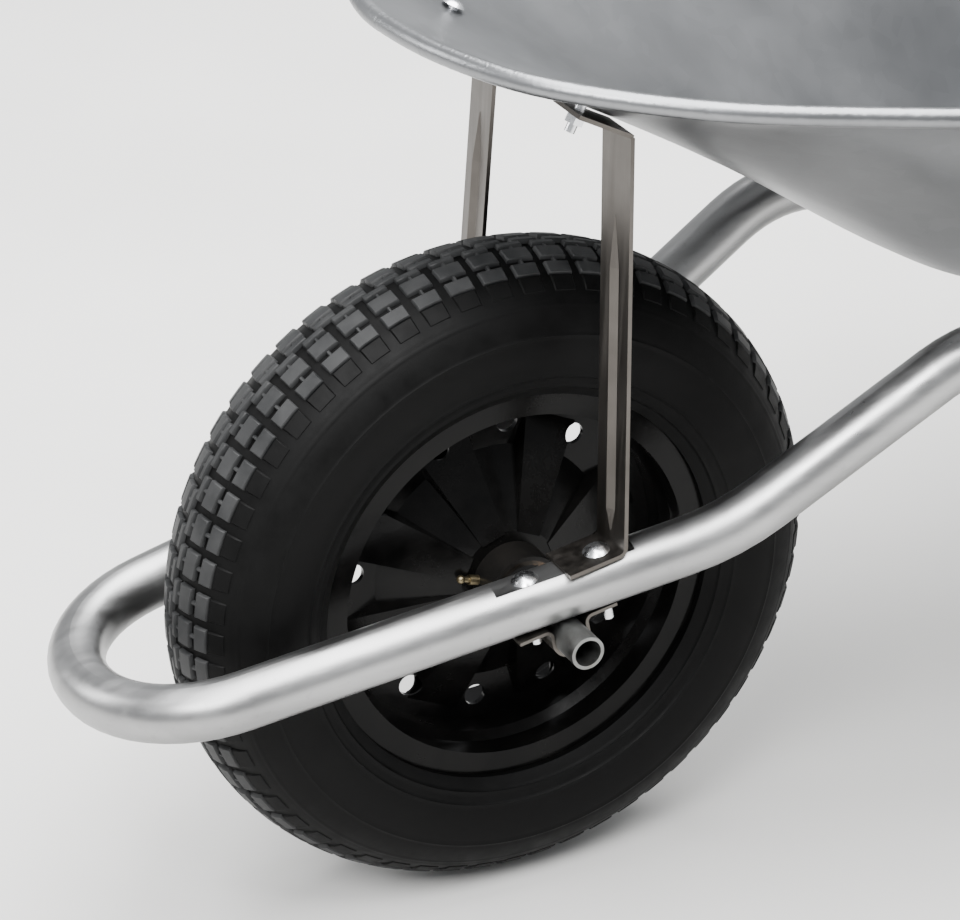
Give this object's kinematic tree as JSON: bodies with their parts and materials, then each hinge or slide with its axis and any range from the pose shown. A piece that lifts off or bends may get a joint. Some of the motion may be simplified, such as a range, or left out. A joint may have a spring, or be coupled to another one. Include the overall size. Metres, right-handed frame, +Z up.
{
  "type": "wheelbarrow",
  "caption": "Wheelbarrow with a shallow sheet-metal pan, a bent pipe frame that loops round one air-filled wheel, bent tube legs and hand grips.",
  "frame": {"origin": "on the ground, at the middle of the object's length and width", "axes": "+X is the direction of travel, towards the wheel; +Y is the left side; +Z is up"},
  "size_m": [1.4536, 0.5762, 0.5482],
  "materials": {
    "frame_pipe": "galvanised tube, soft streaks",
    "leg_tube": "galvanised tube",
    "fasteners": "zinc-plated",
    "strip_steel": "galvanised strip, dull",
    "pan_sheet": "galvanised sheet, soft spangle",
    "plain_steel": "plain drawn wire",
    "tyre_rubber": "moulded black rubber",
    "soft_rubber": "black rubber",
    "wheel_paint": "gloss black",
    "hub_paint": "gloss black",
    "bearing_steel": "ground steel",
    "axle_steel": "zinc-plated tube",
    "grip_plastic": "black moulded plastic",
    "brass": "plain"
  },
  "bodies": {
    "root": {"axle_spacers": "axle_steel", "axle_tube": "axle_steel", "bearing_inner_rings": "bearing_steel", "brace_pan_bolts": "fasteners", "brace_pan_nuts": "fasteners", "clamp_bolts": "fasteners", "cross_bar_bolts": "fasteners", "cross_bar_nuts": "fasteners", "frame_tube": "frame_pipe", "left_axle_strap": "strip_steel", "left_brace": "strip_steel", "left_grip": "grip_plastic", "left_leg": "leg_tube", "leg_bolts": "fasteners", "leg_cross_bar": "leg_tube", "leg_nuts": "fasteners", "pan": "pan_sheet", "pan_floor_bolts": "fasteners", "pan_floor_nuts": "fasteners", "right_axle_strap": "strip_steel", "right_brace": "strip_steel", "right_grip": "grip_plastic", "right_leg": "leg_tube", "rim_wire": "plain_steel"},
    "wheel": {"tyre": "tyre_rubber", "inner_tube": "soft_rubber", "valve_stem": "soft_rubber", "valve_cap": "soft_rubber", "rim": "wheel_paint", "left_wheel_disc": "wheel_paint", "right_wheel_disc": "wheel_paint", "hub_tube": "hub_paint", "bearing_outer_rings": "bearing_steel", "bearing_balls": "bearing_steel", "bearing_seals": "soft_rubber", "grease_nipple": "brass"}
  },
  "joints": [
    {"name": "wheel_spin", "type": "hinge", "parent": "root", "child": "wheel", "pos_m": [0.4578, 0, 0.2], "axis": [0, 1, 0], "continuous": true}
  ]
}
